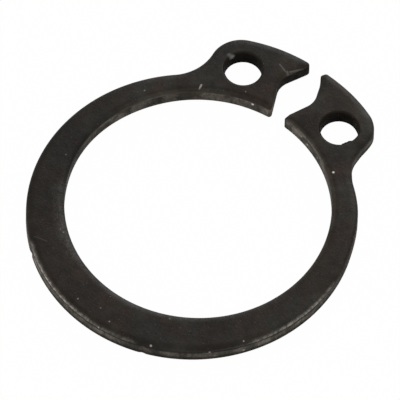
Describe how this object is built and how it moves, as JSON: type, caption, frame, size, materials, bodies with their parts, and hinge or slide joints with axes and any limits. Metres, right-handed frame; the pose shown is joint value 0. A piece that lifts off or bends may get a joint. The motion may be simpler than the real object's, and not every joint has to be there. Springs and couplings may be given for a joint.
{
  "type": "external retaining ring",
  "caption": "Flat external retaining ring of black spring steel with two lugs that have plier holes, for gripping a groove round a shaft.",
  "frame": {"origin": "centre of the free bore, on the middle plane of the sheet", "axes": "+Z along the bore axis, +Y from the bore's centre through the gap, X across both lugs"},
  "size_m": [0.017, 0.0196, 0.001],
  "materials": {
    "phosphated_steel": "black phosphated and oiled spring steel, satin, with small bright wear specks"
  },
  "bodies": {
    "root": {"retaining_ring": "phosphated_steel"}
  },
  "joints": []
}
